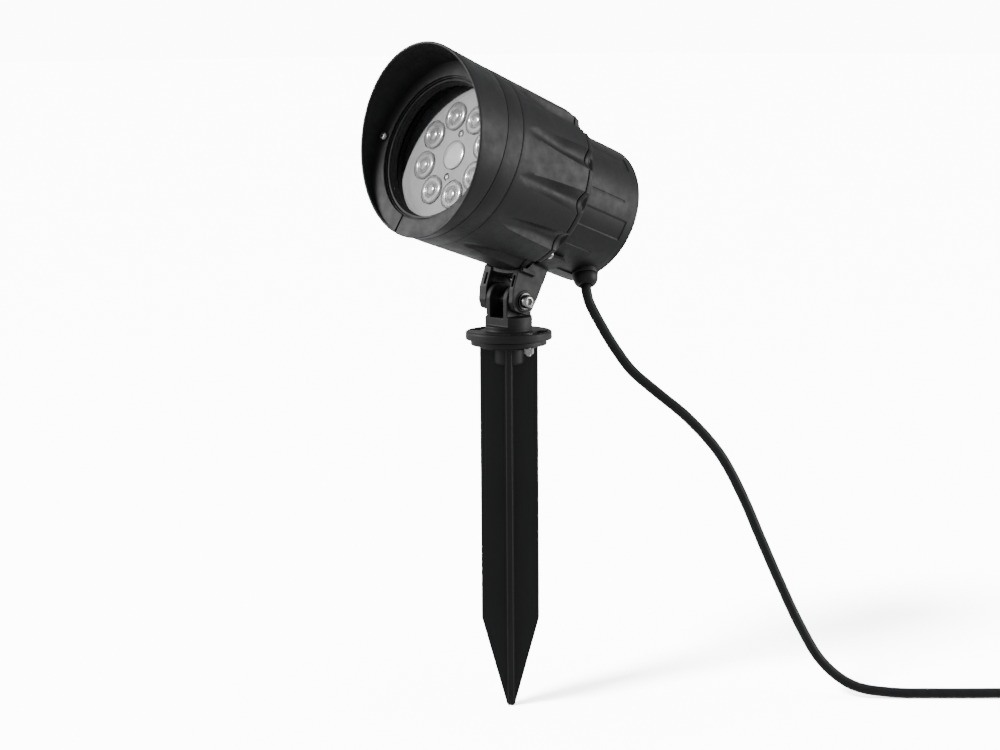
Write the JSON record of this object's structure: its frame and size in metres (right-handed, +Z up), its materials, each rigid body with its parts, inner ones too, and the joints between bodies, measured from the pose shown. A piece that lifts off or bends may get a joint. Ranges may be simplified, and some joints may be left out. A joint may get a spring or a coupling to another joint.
{
  "type": "garden spotlight on a ground stake",
  "caption": "Round LED garden spotlight with a slanted glare visor, tilting on a yoke and swivelling on a cross-section ground stake, with mains cord and plug",
  "frame": {"origin": "blunt tip of the stake, on the stake's axis", "axes": "+Z up along the stake, the lamp faces -Y, the tilt bolt lies along X"},
  "size_m": [0.3045, 0.4719, 0.4002],
  "materials": {
    "black_paint": "fine-textured black powder coat on cast aluminium",
    "black_plastic": "moulded black plastic",
    "steel": "bright stainless steel",
    "rubber": "matt black rubber",
    "glass": "clear toughened glass",
    "clear_optic": "clear moulded optic",
    "grey_plate": "satin grey plate",
    "circuit_board": "white solder mask",
    "red_lead": "red wire insulation",
    "black_lead": "black wire insulation"
  },
  "bodies": {
    "stake": {"ground_stake": "black_plastic", "clamp_screw_l": "steel", "clamp_screw_r": "steel", "clamp_nut_l": "steel", "clamp_nut_r": "steel"},
    "swivel": {"swivel_base": "black_paint", "power_cord": "rubber", "cord_coil": "rubber", "plug_body": "rubber", "plug_pin_l": "steel", "plug_pin_r": "steel"},
    "head": {"cover_screw_1": "steel", "cover_screw_2": "steel", "cover_screw_3": "steel", "cover_seal": "rubber", "front_bezel": "black_paint", "gland_nut": "black_plastic", "gland_seal": "rubber", "glass_gasket": "rubber", "glass_lens": "glass", "lead_black": "black_lead", "lead_red": "red_lead", "led_board": "circuit_board", "led_driver": "black_plastic", "main_housing": "black_paint", "optic_1": "clear_optic", "optic_2": "clear_optic", "optic_3": "clear_optic", "optic_4": "clear_optic", "optic_5": "clear_optic", "optic_6": "clear_optic", "optic_7": "clear_optic", "optic_8": "clear_optic", "optic_centre": "clear_optic", "optic_plate": "grey_plate", "pivot_bolt": "steel", "pivot_nut": "steel", "pivot_washer_l": "steel", "pivot_washer_r": "steel", "plate_screw_bottom": "steel", "plate_screw_top": "steel", "rear_cover": "black_paint", "visor": "black_paint", "visor_screw_l": "steel", "visor_screw_r": "steel", "yoke_bracket": "black_paint", "yoke_screw_l": "steel", "yoke_screw_r": "steel"}
  },
  "joints": [
    {"name": "head_swivel", "type": "hinge", "parent": "stake", "child": "swivel", "pos_m": [0, 0, 0.2245], "axis": [0, 0, 1], "range_deg": [-38, 25]},
    {"name": "head_tilt", "type": "hinge", "parent": "swivel", "child": "head", "pos_m": [0, 0, 0.2478], "axis": [1, 0, 0], "range_deg": [-40, 45], "deforming": ["power_cord"]}
  ]
}
